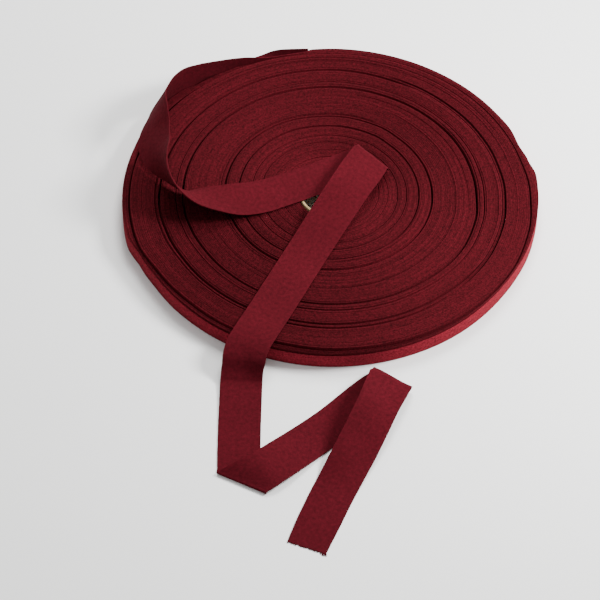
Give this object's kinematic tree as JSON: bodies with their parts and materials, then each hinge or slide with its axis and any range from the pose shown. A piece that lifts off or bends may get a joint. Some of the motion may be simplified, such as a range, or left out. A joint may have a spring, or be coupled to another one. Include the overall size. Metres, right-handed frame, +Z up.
{
  "type": "roll of bias binding",
  "caption": "Flat roll of folded cotton bias binding on a thin cardboard core, with its loose end opened out, folded back across the face and trailing over the rim onto the surface.",
  "frame": {"origin": "on the surface the roll lies on, under the middle of the whole part's bounding box", "axes": "+Z up out of the face of the roll; -Y towards the loose end that lies on the surface; +X to the right seen from the loose end"},
  "size_m": [0.2612, 0.3944, 0.0419],
  "materials": {
    "cardboard": "matt kraft paperboard tube",
    "wound_tape": "matt burgundy cotton, wound edges with fine turns",
    "loose_tape": "matt burgundy plain-weave cotton"
  },
  "bodies": {
    "root": {"core": "cardboard", "roll": "wound_tape", "tail": "loose_tape"}
  },
  "joints": []
}
